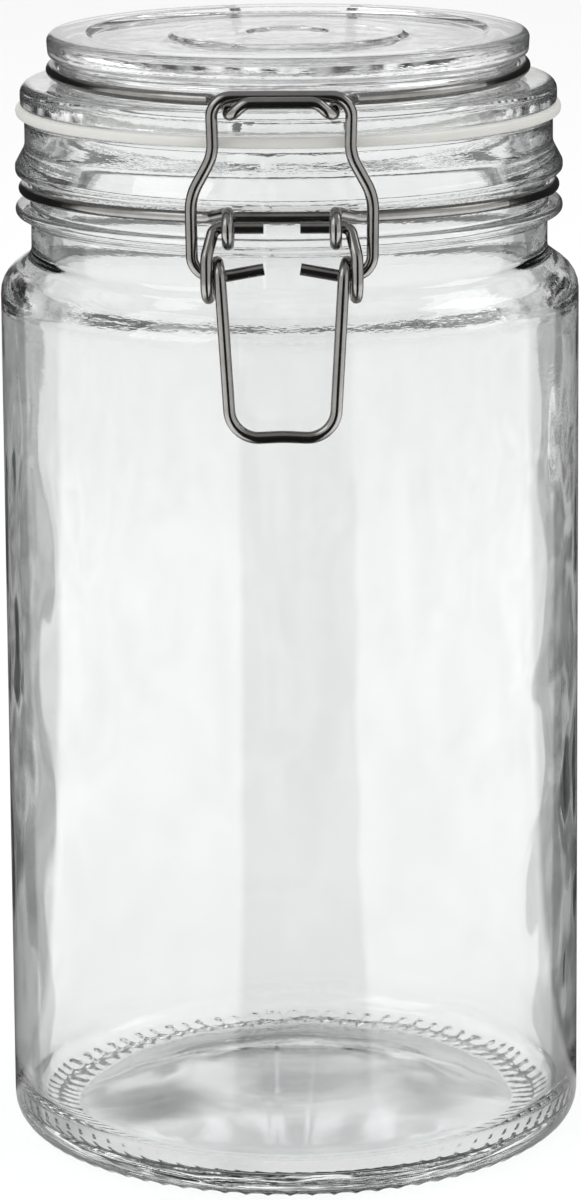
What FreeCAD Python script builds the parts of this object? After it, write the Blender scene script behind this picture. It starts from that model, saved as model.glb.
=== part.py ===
import FreeCAD, Part
import math
import os

# Clip-top preserving jar, closed: glass jar and lid, soft gasket and a clasp of bent wire.
# Millimetres, +Z up. The origin is on the jar's axis at the table, and the clasp faces -Y.
# "Out" is a distance in front of the jar's axis, so the back of the jar has negative ones.

Vector = FreeCAD.Vector

# Glass jar
BODY_DIAMETER = 100.0       # outside of the straight body
RIM_HEIGHT = 179.4          # table to the sealing rim
BODY_WALL = 3.2
HEEL_RADIUS = 5.0           # outer rounding at the foot
BEARING_WIDTH = 6.4         # flat ring that the jar stands on
PUSH_UP = 3.6               # rise of the domed floor over the flat ring
DOME_SHARE = 0.5            # the top of the dome is flat over this much of its width
FLOOR_THICKNESS = 3.2
INNER_HEEL_RADIUS = 7.0
NECK_INSET = 5.4            # body radius less neck radius
NECK_WALL = 2.6             # neck radius less mouth radius
SHOULDER_DROP = 27.8        # rim down to the outer corner of the shoulder
SHOULDER_RISE = 3.9         # slope of the shoulder, from its outer to its inner corner
SHOULDER_RADIUS = 5.5
SHOULDER_WALL = 3.4         # drop from the outer shoulder to the inner one
RIB_REACH = 2.6             # how far the two ribs stand out from the neck
RIB_THICKNESS = 1.6
RIB_DROP = 9.1              # rim down to the middle of the upper rib
GROOVE_DEPTH = 0.2          # the wire's groove is cut this much into the neck
GROOVE_ROOM = 1.2           # free height in the groove, with the tilted wire in it
COLLAR_REACH = 0.9          # the collar above the ribs, out from the neck
COLLAR_DROP = 3.2           # slope from the collar down to the upper rib
EDGE_ROUND = 0.8            # rim and foot ring
RIB_ROUND = 0.7
RIB_ROOT_ROUND = 0.9        # where a rib flows into the neck
GROOVE_ROUND = 0.5
NECK_FOOT_ROUND = 2.4       # where the neck meets the shoulder
COLLAR_ROUND = 3.0
INNER_NECK_ROUND = 4.0
INNER_SHOULDER_ROUND = 6.0
DOME_ROUND = 60.0
DOME_EDGE_ROUND = 6.0

# Gasket
GASKET_THICKNESS = 1.9
GASKET_OVERHANG = 1.5       # how far it shows outside the collar
GASKET_FIT = 0.4            # round the plug of the lid
GASKET_ROUND = 0.4

# Glass lid
FLANGE_INSET = 0.8          # gasket radius less flange radius
FLANGE_THICKNESS = 3.9
PLUG_CLEARANCE = 2.6        # room for the plug to swing out of the mouth
PLUG_DEPTH = 3.4            # below the flange, through the gasket and into the mouth
PLUG_WIDTH = 3.6
HOLLOW_DRAFT = 0.8          # the hollow narrows upwards by this much
LID_GROOVE_HEIGHT = 4.5     # groove for the lid wire, between the flange and the top disc
TOP_DISC_REACH = 2.2        # how far the top disc stands out from the groove
TOP_DISC_THICKNESS = 4.0
PANEL_THICKNESS = 4.1       # glass over the hollow underside, below the recess
RECESS_INSET = 6.8          # dished ring in the top, in from the edge of the top disc
RECESS_DEPTH = 1.0
RECESS_SLOPE = 1.2          # run of the slope down to the dished ring
BOSS_DIAMETER = 39.6        # raised disc in the middle of the top
BOSS_HEIGHT = 0.7
BOSS_SLOPE = 0.9
DIMPLE_DIAMETER = 13.4
DIMPLE_DEPTH = 0.4
DIMPLE_SLOPE = 0.5
TOP_DISC_DRAFT = 0.3        # the top disc widens upwards by this much
FLANGE_FOOT_ROUND = 0.5
FLANGE_ROUND = 1.8
TOP_EDGE_ROUND = 1.4
HOLLOW_ROUND = 2.5
PLUG_ROUND = 0.9
LID_GROOVE_ROUND = 0.6
TOP_FOOT_ROUND = 0.7
PRESSED_ROUND = 0.9         # edges of the dished ring
FINE_ROUND = 0.4            # edges of the raised disc and the dimple

# Clasp
WIRE_DIAMETER = 2.0
SEAT_GAP = 0.25             # wire to glass
RUNNING_GAP = 0.3           # wire to the wire that carries it
TIGHT_BEND = 1.5            # centreline radius of a sharp bend
RING_BEND = 1.8             # where the lid wire leaves its ring
LEG_BEND = 3.0              # top of the legs behind, and the hook's arms
STUB_END = 3.0              # inner ends of all the stubs, from the middle plane
NECK_WIRE_TILT = 1.25       # degrees, pulled up at the clasp
EYE_PLAY = 1.3              # bore of an eye less the wire in it
EYE_SPREAD = 8.8            # eyes to the middle plane
EYE_EXIT = 1.3              # the wire leaves an eye this far above its middle
EYE_STAND_OFF = 1.0         # eyes beyond the ring, to clear the ribs
EYE_RUN_IN = 4.4            # ring to eye, past the eye's own place
EYE_PAST = 1.1              # length of the straight run on each side of that bend
EYE_RING_BEND = 4.0
EYE_TOP_BEND = 1.4
EYE_EXIT_BEND = 1.25
LID_WIRE_TILT = -1.2        # degrees, pulled down at the clasp
HOOK_PLAY = 1.0             # hook to the bail on each side
HOOK_DEPTH = 0.7            # lip of the hook below the middle of the bail bar
HOOK_PAST = 0.9             # length of the straight run off the ring
HOOK_SPLAY = 0.2            # the arms are this much wider at the ring
HOOK_FALL = 0.15            # the arms start this far under the ring
HOOK_LEAN = 0.3             # the bottom of the hook is this much behind its lip
HOOK_SAG = 0.6              # and this much under the free path below the bar
HOOK_TAPER = 2.6            # the lip is this much narrower on each side
HOOK_BEND = 1.6
HOOK_TOP_BEND = 2.8
LEG_RUN_IN = 1.6            # ring to the legs behind, past a leg's own place
LEG_PAST = 0.6
COIL_PLAY = 1.94            # bore of a coil less the wire in it
COIL_DROP = 8.6             # lever pivot down to the middle of its coils
COIL_OUT = 0.2              # lever pivot out to the middle of its coils
COIL_SPREAD = 10.2          # inner turn of the coils to the middle plane
LEVER_LENGTH = 25.9         # middle of the coils down to the bar of the lever
LEVER_BAR_HALF = 8.5        # half width of the lever at its bar
LEVER_BAR_RISE = 0.4        # the bar is cambered up in the middle
LEVER_BAR_BEND = 4.8
LEVER_CAMBER = 20.0         # bend radius of that camber
COIL_GAP = 0.1              # between the turns of a coil
ARM_LEAN = 0.4              # the lever's arms, back from the front of the coils
ARM_FALL = 0.2              # and down from halfway to the coils
ARM_BEND = 4.0
BAIL_HALF = 14.9            # half width of the bail where it is widest
BAIL_HALF_RISE = 13.0       # height of that above the coils' pins
BAIL_HALF_BEND = 9.0
BAIL_FOOT_HALF = 14.7       # half width of the bail at its foot
BAIL_FOOT_BEND = 3.4
BAIL_STUB_RISE = 1.1        # the ends of the bail turn up inside the coils
BAIL_STUB_BEND = 6.0
BAIL_WAIST = 11.2           # half width of the bail at its waist
BAIL_WAIST_RISE = 19.7
BAIL_WAIST_BEND = 7.5
BAIL_TOP_HALF = 11.5        # half width of the bail at its bar
BAIL_TOP_BEND = 3.2
BAIL_BAR_LIFT = 0.75        # bar above the middle of the lid wire
BAIL_BAR_GAP = 0.4          # bar to lid flange

# Sizes that follow from those above: the jar
WIRE = WIRE_DIAMETER / 2
EYE_RADIUS = WIRE_DIAMETER + EYE_PLAY / 2
COIL_RADIUS = WIRE_DIAMETER + COIL_PLAY / 2
HOOK_HALF = BAIL_TOP_HALF - WIRE_DIAMETER - HOOK_PLAY
BODY_R = BODY_DIAMETER / 2
NECK_R = BODY_R - NECK_INSET
MOUTH_R = NECK_R - NECK_WALL
GROOVE_R = NECK_R - GROOVE_DEPTH
RIB_R = NECK_R + RIB_REACH
COLLAR_R = NECK_R + COLLAR_REACH
NECK_RING_R = GROOVE_R + WIRE + SEAT_GAP
GROOVE_HEIGHT = WIRE_DIAMETER + 2 * NECK_RING_R * math.sin(math.radians(NECK_WIRE_TILT)) + GROOVE_ROOM
UPPER_RIB_Z = RIM_HEIGHT - RIB_DROP
LOWER_RIB_Z = UPPER_RIB_Z - RIB_THICKNESS - GROOVE_HEIGHT
NECK_RING_Z = (UPPER_RIB_Z + LOWER_RIB_Z) / 2
SHOULDER_Z = RIM_HEIGHT - SHOULDER_DROP
INNER_R = BODY_R - BODY_WALL

# The gasket and the lid
GASKET_R = COLLAR_R + GASKET_OVERHANG
FLANGE_Z = RIM_HEIGHT + GASKET_THICKNESS
FLANGE_R = GASKET_R - FLANGE_INSET
PLUG_R = MOUTH_R - PLUG_CLEARANCE
LID_GROOVE_Z = FLANGE_Z + FLANGE_THICKNESS
TOP_DISC_Z = LID_GROOVE_Z + LID_GROOVE_HEIGHT
TOP_DISC_R = PLUG_R + TOP_DISC_REACH
LID_TOP_Z = TOP_DISC_Z + TOP_DISC_THICKNESS
LID_RING_R = PLUG_R + WIRE + SEAT_GAP
LID_RING_Z = LID_GROOVE_Z + LID_GROOVE_HEIGHT / 2

# The clasp: pivots of the lever and of the lid, pivot of the bail, and the bail's bar
EYE_OUT = NECK_RING_R + EYE_RADIUS + EYE_STAND_OFF
PIVOT_Z = NECK_RING_Z + EYE_RADIUS - WIRE_DIAMETER - 2 * RUNNING_GAP
COIL_CENTRE_OUT = EYE_OUT + COIL_OUT
COIL_CENTRE_Z = PIVOT_Z - COIL_DROP
BAIL_PIVOT_Z = COIL_CENTRE_Z + COIL_RADIUS - WIRE_DIAMETER - RUNNING_GAP
BAIL_BAR_OUT = FLANGE_R + WIRE + BAIL_BAR_GAP
BAIL_BAR_Z = LID_RING_Z + BAIL_BAR_LIFT
ARM_X = EYE_SPREAD + WIRE_DIAMETER + RUNNING_GAP


def corner(x, out, z, bend=0.0):
    """A corner of a wire's path, and the centreline radius of the bend that rounds it."""
    return Vector(x, -out, z), bend


def rounded_path(corners):
    """Straight runs through the corners, with each corner that has a radius rounded by an arc."""
    edges = []
    start = corners[0][0]
    for index in range(1, len(corners)):
        point, radius = corners[index]
        end = point
        if radius:
            back = (corners[index - 1][0] - point).normalize()
            ahead = (corners[index + 1][0] - point).normalize()
            half = back.getAngle(ahead) / 2
            end = point + back * (radius / math.tan(half))
        if (end - start).Length > 1e-4:
            edges.append(Part.LineSegment(start, end).toShape())
        start = end
        if radius:
            middle = point + (back + ahead).normalize() * (radius / math.sin(half) - radius)
            start = point + ahead * (radius / math.tan(half))
            edges.append(Part.Arc(end, middle, start).toShape())
    return Part.Wire(edges)


def turned(outline):
    """Revolve an outline about Z: a list of (radius, height, rounding), from the axis to the axis."""
    corners = [(Vector(r, 0, z), rounding) for r, z, rounding in outline]
    path = rounded_path(corners)
    if outline[0][0] == 0:
        path = Part.Wire(path.Edges + [Part.LineSegment(corners[-1][0], corners[0][0]).toShape()])
    return Part.Face(path).revolve(Vector(0, 0, 0), Vector(0, 0, 1), 360)


def bent_wire(half):
    """Sweep the clasp's wire along a path that is given for x > 0 and mirrored to the other side."""
    other = [(Vector(-point.x, point.y, point.z), bend) for point, bend in reversed(half) if point.x > 0]
    corners = half + other
    path = rounded_path(corners)
    start = corners[0][0]
    section = Part.Wire(Part.Circle(start, corners[1][0] - start, WIRE).toShape())
    return path.makePipeShell([section], True, False)


def on_ring(radius, z, tilt, azimuth, past=0.0, bend=0.0):
    """A corner on a tilted ring, or a distance past that point along the ring's tangent.

    The azimuth is in degrees from the front, round towards +X, and so is the way "past" goes."""
    a = math.radians(azimuth)
    t = math.radians(tilt)
    x = radius * math.sin(a) + past * math.cos(a)
    out = radius * math.cos(a) - past * math.sin(a)
    return corner(x, out * math.cos(t), z + out * math.sin(t), bend)


def round_ring(radius, z, tilt, start, end, turns=4):
    """Corners of a polygon round a tilted ring, whose bends make one smooth arc of that radius."""
    step = (end - start) / turns
    outer = radius / math.cos(math.radians(step / 2))
    return [on_ring(outer, z, tilt, start + step * (i + 0.5), bend=radius) for i in range(turns)]


def jar():
    """The glass jar, with two ribs round its neck that hold the neck wire between them."""
    half_rib = RIB_THICKNESS / 2
    bearing_in = BODY_R - HEEL_RADIUS - BEARING_WIDTH
    dome_r = bearing_in * DOME_SHARE
    inner_shoulder = SHOULDER_Z - SHOULDER_WALL
    outline = [
        (0, PUSH_UP, 0),
        (dome_r, PUSH_UP, DOME_ROUND),
        (bearing_in, 0, EDGE_ROUND),
        (BODY_R, 0, HEEL_RADIUS),
        (BODY_R, SHOULDER_Z, SHOULDER_RADIUS),
        (NECK_R, SHOULDER_Z + SHOULDER_RISE, NECK_FOOT_ROUND),
        (NECK_R, LOWER_RIB_Z - half_rib - RIB_ROOT_ROUND, RIB_ROOT_ROUND),
        (RIB_R, LOWER_RIB_Z - half_rib, RIB_ROUND),
        (RIB_R, LOWER_RIB_Z + half_rib, RIB_ROUND),
        (GROOVE_R, LOWER_RIB_Z + half_rib, GROOVE_ROUND),
        (GROOVE_R, UPPER_RIB_Z - half_rib, GROOVE_ROUND),
        (RIB_R, UPPER_RIB_Z - half_rib, RIB_ROUND),
        (RIB_R, UPPER_RIB_Z + half_rib, RIB_ROOT_ROUND),
        (COLLAR_R, UPPER_RIB_Z + half_rib + COLLAR_DROP, COLLAR_ROUND),
        (COLLAR_R, RIM_HEIGHT, EDGE_ROUND),
        (MOUTH_R, RIM_HEIGHT, EDGE_ROUND),
        (MOUTH_R, inner_shoulder + INNER_R - MOUTH_R, INNER_NECK_ROUND),
        (INNER_R, inner_shoulder, INNER_SHOULDER_ROUND),
        (INNER_R, FLOOR_THICKNESS, INNER_HEEL_RADIUS),
        (bearing_in, FLOOR_THICKNESS, DOME_EDGE_ROUND),
        (dome_r, PUSH_UP + FLOOR_THICKNESS, DOME_ROUND),
        (0, PUSH_UP + FLOOR_THICKNESS, 0),
    ]
    return turned(outline)


def gasket():
    """The soft flat ring between the jar's rim and the lid's flange."""
    inner = PLUG_R + GASKET_FIT
    corners = [(inner, RIM_HEIGHT), (GASKET_R, RIM_HEIGHT), (GASKET_R, FLANGE_Z), (inner, FLANGE_Z)]
    middle = ((inner + GASKET_R) / 2, RIM_HEIGHT, 0)
    return turned([middle] + [(r, z, GASKET_ROUND) for r, z in corners[1:] + corners[:1]] + [middle])


def lid():
    """The glass lid: plug and hollow below, flange, groove for the lid wire, and top disc."""
    hollow_r = PLUG_R - PLUG_WIDTH
    hollow_top = LID_TOP_Z - RECESS_DEPTH - PANEL_THICKNESS
    plug_foot = FLANGE_Z - PLUG_DEPTH
    recess_r = TOP_DISC_R - RECESS_INSET
    recess_z = LID_TOP_Z - RECESS_DEPTH
    boss_r = BOSS_DIAMETER / 2
    boss_z = recess_z + BOSS_HEIGHT
    dimple_r = DIMPLE_DIAMETER / 2
    dimple_z = boss_z - DIMPLE_DEPTH
    outline = [
        (0, hollow_top, 0),
        (hollow_r - HOLLOW_DRAFT, hollow_top, HOLLOW_ROUND),
        (hollow_r, plug_foot, PLUG_ROUND),
        (PLUG_R, plug_foot, PLUG_ROUND),
        (PLUG_R, FLANGE_Z, 0),
        (FLANGE_R, FLANGE_Z, FLANGE_FOOT_ROUND),
        (FLANGE_R, LID_GROOVE_Z, FLANGE_ROUND),
        (PLUG_R, LID_GROOVE_Z, LID_GROOVE_ROUND),
        (PLUG_R, TOP_DISC_Z, LID_GROOVE_ROUND),
        (TOP_DISC_R - TOP_DISC_DRAFT, TOP_DISC_Z, TOP_FOOT_ROUND),
        (TOP_DISC_R, LID_TOP_Z, TOP_EDGE_ROUND),
        (recess_r, LID_TOP_Z, PRESSED_ROUND),
        (recess_r - RECESS_SLOPE, recess_z, PRESSED_ROUND),
        (boss_r + BOSS_SLOPE, recess_z, PRESSED_ROUND),
        (boss_r, boss_z, FINE_ROUND),
        (dimple_r + DIMPLE_SLOPE, boss_z, FINE_ROUND),
        (dimple_r, dimple_z, FINE_ROUND),
        (0, dimple_z, 0),
    ]
    return turned(outline)


def eye(side, ring_end):
    """Corners of one eye of the neck wire and its way in from the ring; side is 1 in front, -1 behind."""
    far = EYE_OUT + EYE_RADIUS
    near = EYE_OUT - EYE_RADIUS
    top = NECK_RING_Z + EYE_RADIUS
    bottom = NECK_RING_Z - EYE_RADIUS
    leaves = NECK_RING_Z + EYE_EXIT
    return [
        ring_end,
        corner(EYE_SPREAD, side * (EYE_OUT - WIRE), top - RUNNING_GAP, EYE_TOP_BEND),
        corner(EYE_SPREAD, side * far, top, EYE_RADIUS),
        corner(EYE_SPREAD, side * far, bottom, EYE_RADIUS),
        corner(EYE_SPREAD, side * near, bottom, EYE_RADIUS),
        corner(EYE_SPREAD, side * near, leaves, EYE_EXIT_BEND),
    ]


def neck_wire():
    """The wire round the neck: two eyes in front carry the lever, two behind carry the lid wire."""
    ring = (NECK_RING_R, NECK_RING_Z, NECK_WIRE_TILT)
    away = math.degrees(math.asin((EYE_SPREAD + EYE_RUN_IN) / NECK_RING_R))
    front_end = on_ring(*ring, away, past=-EYE_PAST, bend=EYE_RING_BEND)
    back_end = on_ring(*ring, 180 - away, past=EYE_PAST, bend=EYE_RING_BEND)
    back = eye(-1, back_end)
    butt = corner(SEAT_GAP / 2, EYE_RADIUS - EYE_OUT, NECK_RING_Z + EYE_EXIT)
    half = [butt] + back[::-1] + round_ring(*ring, 180 - away, away) + eye(1, front_end)
    return bent_wire(half)


def lid_wire():
    """The wire round the lid: a hook for the bail in front, two legs to the neck wire behind."""
    ring = (LID_RING_R, LID_RING_Z, LID_WIRE_TILT)
    away = math.degrees(math.asin((ARM_X + LEG_RUN_IN) / LID_RING_R))
    front_z = LID_RING_Z + LID_RING_R * math.sin(math.radians(LID_WIRE_TILT))
    back_z = LID_RING_Z - LID_RING_R * math.sin(math.radians(LID_WIRE_TILT))
    lip_out = BAIL_BAR_OUT + WIRE_DIAMETER + BAIL_BAR_GAP
    lip_z = BAIL_BAR_Z - HOOK_DEPTH
    under_bar = BAIL_BAR_Z - WIRE_DIAMETER - 2 * RUNNING_GAP
    half = [
        corner(STUB_END, -EYE_OUT, PIVOT_Z),
        corner(ARM_X, -EYE_OUT, PIVOT_Z, TIGHT_BEND),
        corner(ARM_X, -EYE_OUT, back_z, LEG_BEND),
        corner(ARM_X, -LID_RING_R * math.cos(math.radians(away)) - LEG_PAST, back_z, RING_BEND),
        on_ring(*ring, 180 - away, past=LEG_PAST, bend=RING_BEND),
    ]
    half += round_ring(*ring, 180 - away, away)
    half += [
        on_ring(*ring, away, past=-HOOK_PAST, bend=RING_BEND),
        corner(HOOK_HALF + HOOK_SPLAY, BAIL_BAR_OUT - WIRE_DIAMETER, front_z - HOOK_FALL, LEG_BEND),
        corner(HOOK_HALF, lip_out - HOOK_LEAN, under_bar - HOOK_SAG, HOOK_BEND),
        corner(HOOK_HALF - HOOK_TAPER, lip_out, lip_z, HOOK_TOP_BEND),
    ]
    return bent_wire(half)


def lever():
    """The lever: stubs in the front eyes, arms out to a coil on each side, and the handle loop."""
    front = COIL_CENTRE_OUT + COIL_RADIUS
    back = COIL_CENTRE_OUT - COIL_RADIUS
    top = COIL_CENTRE_Z + COIL_RADIUS
    bottom = COIL_CENTRE_Z - COIL_RADIUS
    pitch = WIRE_DIAMETER + COIL_GAP
    arm = COIL_SPREAD + pitch
    arm_z = PIVOT_Z - COIL_DROP / 2 - ARM_FALL
    bar_z = COIL_CENTRE_Z - LEVER_LENGTH
    half = [
        corner(STUB_END, EYE_OUT, PIVOT_Z),
        corner(ARM_X, EYE_OUT, PIVOT_Z, TIGHT_BEND),
        corner(arm, front - ARM_LEAN, arm_z, ARM_BEND),
        corner(arm, front, bottom, COIL_RADIUS),
        corner(arm - pitch / 4, back, bottom, COIL_RADIUS),
        corner(arm - pitch * 3 / 5, back, top, COIL_RADIUS),
        corner(COIL_SPREAD, front, top, COIL_RADIUS),
        corner(LEVER_BAR_HALF, front, bar_z, LEVER_BAR_BEND),
        corner(0, front, bar_z + LEVER_BAR_RISE, LEVER_CAMBER),
    ]
    return bent_wire(half)


def bail():
    """The bail: stubs in the lever's coils, and legs that spread, close in and carry the bar."""
    lean = (BAIL_BAR_OUT - COIL_CENTRE_OUT) / (BAIL_BAR_Z - BAIL_PIVOT_Z)

    def leg(x, rise, bend):
        return corner(x, COIL_CENTRE_OUT + lean * rise, BAIL_PIVOT_Z + rise, bend)

    half = [
        corner(STUB_END, COIL_CENTRE_OUT, BAIL_PIVOT_Z + BAIL_STUB_RISE),
        corner(COIL_SPREAD - WIRE, COIL_CENTRE_OUT, BAIL_PIVOT_Z, BAIL_STUB_BEND),
        corner(BAIL_FOOT_HALF, COIL_CENTRE_OUT, BAIL_PIVOT_Z, BAIL_FOOT_BEND),
        leg(BAIL_HALF, BAIL_HALF_RISE, BAIL_HALF_BEND),
        leg(BAIL_WAIST, BAIL_WAIST_RISE, BAIL_WAIST_BEND),
        leg(BAIL_TOP_HALF, BAIL_BAR_Z - BAIL_PIVOT_Z, BAIL_TOP_BEND),
    ]
    return bent_wire(half)


def main():
    os.makedirs("parts", exist_ok=True)
    for make in (jar, gasket, lid, neck_wire, lid_wire, lever, bail):
        make().exportStep(f"parts/{make.__name__}.step")


main()
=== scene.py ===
"""Looks of a clip-top preserving jar: clear pressed glass, a pale soft gasket and a clasp of bent steel wire.

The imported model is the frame. The glass and the gasket are made here as turned surfaces; the wires keep
their own shapes and get a drawn-steel finish. Pieces are worked out in millimetres and turned into metres
when a mesh is written; finishes and the studio are in metres. Azimuths run from the clasp, at -Y, to +X.
"""

import logging
import math
from dataclasses import dataclass
from enum import Enum

import bpy
import numpy as np
from mathutils import Matrix, Vector


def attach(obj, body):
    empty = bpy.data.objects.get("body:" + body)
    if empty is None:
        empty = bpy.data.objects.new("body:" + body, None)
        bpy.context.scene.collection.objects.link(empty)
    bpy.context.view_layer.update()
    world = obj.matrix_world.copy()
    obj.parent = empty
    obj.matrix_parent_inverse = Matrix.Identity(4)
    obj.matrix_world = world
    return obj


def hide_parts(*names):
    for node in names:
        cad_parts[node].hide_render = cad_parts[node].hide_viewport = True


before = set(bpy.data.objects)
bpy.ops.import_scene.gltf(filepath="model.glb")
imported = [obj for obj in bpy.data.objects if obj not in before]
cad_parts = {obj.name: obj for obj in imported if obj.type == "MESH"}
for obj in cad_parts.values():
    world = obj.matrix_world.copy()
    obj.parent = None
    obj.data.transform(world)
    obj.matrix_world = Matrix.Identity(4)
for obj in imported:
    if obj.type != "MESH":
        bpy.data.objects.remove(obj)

LOG = logging.getLogger("clip_top_jar")
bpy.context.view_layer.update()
MM = 0.001
ROUND = 2 * math.pi
SAME_POINT = 1e-6
LIGHT_TURNS = {
    "max_bounces": 16,
    "glossy_bounces": 14,
    "transmission_bounces": 16,
    "transparent_max_bounces": 16,
}

Socket = bpy.types.NodeSocket
Number = float | Socket
Colour = tuple[float, float, float, float]
Span = tuple[float, float]


class Slot(Enum):
    """Names of the record's material slots; nothing in this script uses them."""

    JAR_GLASS = "jar_glass"
    LID_GLASS = "lid_glass"
    GASKET = "gasket"


class Rise(Enum):
    """How a ramp goes from its low end to its high one."""

    EVEN = "LINEAR"
    SOFT = "SMOOTHSTEP"


# ------------------------------------------------------------------------------------------------------------
# Turned surfaces
# ------------------------------------------------------------------------------------------------------------


@dataclass(frozen=True)
class Corner:
    """A corner of an outline: its radius, its height and the radius that it is rounded to, in millimetres."""

    radius: float
    height: float
    rounding: float = 0.0


@dataclass(frozen=True)
class Outline:
    """An outline of a turned body, which starts and ends on the body's axis.

    Attributes:
        corners: its corners in order.
        step: longest stretch between two points of a straight run, in millimetres.
        fine_below: height under which a whole run has to lie to be divided finely.
        fine_step: longest stretch in such a run.
        arc_step: turn between two points of a rounding, in degrees.
        small: radius up to which a rounding counts as small.
        small_arc_step: turn between two points of a small rounding.
        least: fewest stretches in a rounding.
    """

    corners: list[Corner]
    step: float
    fine_below: float = -1.0
    fine_step: float = 0.5
    arc_step: float = 14.0
    small: float = 1.0
    small_arc_step: float = 30.0
    least: int = 3

    def points(self) -> np.ndarray:
        """Work out the outline's points: straight runs, joined at rounded corners by arcs that meet both.

        Returns:
            An array of radius and height, one row per point.
        """
        places = np.array([(corner.radius, corner.height) for corner in self.corners])
        runs: list[np.ndarray] = []
        start = places[0]
        for before, here, after, corner in zip(places, places[1:], places[2:], self.corners[1:]):
            if not corner.rounding:
                runs.append(self._run(start, here))
                start = here
                continue
            centre, first, last = self._fitted(before, here, after, corner.rounding)
            runs += [self._run(start, first), self._arc(centre, first, last)]
            start = last
        runs.append(self._run(start, places[-1]))
        points = np.vstack([places[:1], *runs])
        moved = np.linalg.norm(np.diff(points, axis=0), axis=1) > SAME_POINT
        return points[np.concatenate([[True], moved])]

    @staticmethod
    def _fitted(
        before: np.ndarray, here: np.ndarray, after: np.ndarray, rounding: float
    ) -> tuple[np.ndarray, np.ndarray, np.ndarray]:
        """Fit an arc into a corner: its centre lies on the line that halves the corner, at the arc's radius
        over the sine of half the corner.

        Args:
            before: the corner before this one.
            here: this corner.
            after: the next corner.
            rounding: radius of the arc.

        Returns:
            The arc's centre, first point and last point.
        """
        back = (before - here) / np.linalg.norm(before - here)
        ahead = (after - here) / np.linalg.norm(after - here)
        half = math.acos(float(np.clip(back @ ahead, -1, 1))) / 2
        reach = rounding / math.tan(half)
        centre = here + (back + ahead) / np.linalg.norm(back + ahead) * rounding / math.sin(half)
        return centre, here + back * reach, here + ahead * reach

    def _run(self, start: np.ndarray, end: np.ndarray) -> np.ndarray:
        """Divide a straight run into equal stretches.

        Args:
            start: where it starts.
            end: where it ends.

        Returns:
            Its points, without its start.
        """
        step = self.fine_step if max(start[1], end[1]) < self.fine_below else self.step
        count = max(1, math.ceil(float(np.linalg.norm(end - start)) / step))
        share = np.linspace(0, 1, count + 1)[1:, None]
        return start + (end - start) * share

    def _arc(self, centre: np.ndarray, first: np.ndarray, last: np.ndarray) -> np.ndarray:
        """Divide an arc evenly: the spoke to each point is a mean of the two end spokes, weighted by sines.

        Args:
            centre: the arc's centre.
            first: where it starts.
            last: where it ends.

        Returns:
            Its points, without the first.
        """
        a, b = first - centre, last - centre
        turn = math.acos(float(np.clip(a @ b / np.linalg.norm(a) / np.linalg.norm(b), -1, 1)))
        arc_step = self.arc_step if np.linalg.norm(a) > self.small else self.small_arc_step
        count = max(self.least, math.ceil(math.degrees(turn) / arc_step))
        share = np.linspace(0, 1, count + 1)[1:, None]
        return centre + (np.sin((1 - share) * turn) * a + np.sin(share * turn) * b) / math.sin(turn)

    def spread(self, azimuth: np.ndarray) -> tuple[np.ndarray, np.ndarray]:
        """Repeat the outline at each azimuth.

        Args:
            azimuth: the azimuths.

        Returns:
            The radius and the height, each over (outline point, azimuth).
        """
        points = self.points()
        return np.repeat(points[:, :1], len(azimuth), axis=1), np.repeat(points[:, 1:], len(azimuth), axis=1)


def evenly_round(count: int) -> np.ndarray:
    """Angles in radians, spread evenly round the circle from 0."""
    return np.linspace(0, ROUND, count, endpoint=False)


def around(radius: np.ndarray, height: np.ndarray, azimuth: np.ndarray) -> np.ndarray:
    """Carry radii and heights round the axis: x is r sin(a), y is -r cos(a) and z is h, in metres."""
    return np.stack([radius * np.sin(azimuth), -radius * np.cos(azimuth), height], axis=-1) * MM


def turned_mesh(name: str, radius: np.ndarray, height: np.ndarray, azimuth: np.ndarray) -> bpy.types.Object:
    """Make a closed turned surface: a grid round the axis, closed by a fan at each pole.

    Args:
        name: name of the new piece.
        radius: radius over (outline point, azimuth), in millimetres; the first and last rows are the poles.
        height: height over the same grid.
        azimuth: azimuths in radians, evenly round the circle.

    Returns:
        The new piece.
    """
    rows, columns = radius.shape
    grid = around(radius, height, azimuth)
    poles = np.array([[0, 0, height[0].mean()], [0, 0, height[-1].mean()]]) * MM
    vertices = np.vstack([grid[1:-1].reshape(-1, 3), poles])
    below, above = len(vertices) - 2, len(vertices) - 1
    index = np.arange((rows - 2) * columns).reshape(rows - 2, columns)
    beside = np.roll(index, -1, axis=1)
    quads = np.stack([index[:-1], beside[:-1], beside[1:], index[1:]], axis=-1).reshape(-1, 4)
    first = np.stack([np.full(columns, below), beside[0], index[0]], axis=-1)
    last = np.stack([index[-1], beside[-1], np.full(columns, above)], axis=-1)
    return piece_from(name, vertices, quads, np.vstack([first, last]))


def ring_mesh(name: str, radius: np.ndarray, height: np.ndarray, azimuth: np.ndarray) -> bpy.types.Object:
    """Make a ring whose section is a closed loop: a grid round the axis, joined both ways, with no poles.

    Args:
        name: name of the new piece.
        radius: radius over (section point, azimuth), in millimetres.
        height: height over the same grid.
        azimuth: azimuths in radians, evenly round the circle.

    Returns:
        The new piece.
    """
    rows, columns = radius.shape
    index = np.arange(rows * columns).reshape(rows, columns)
    beside, ahead = np.roll(index, -1, axis=1), np.roll(index, -1, axis=0)
    corner = np.roll(beside, -1, axis=0)
    quads = np.stack([index, beside, corner, ahead], axis=-1).reshape(-1, 4)
    return piece_from(name, around(radius, height, azimuth).reshape(-1, 3), quads)


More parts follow.
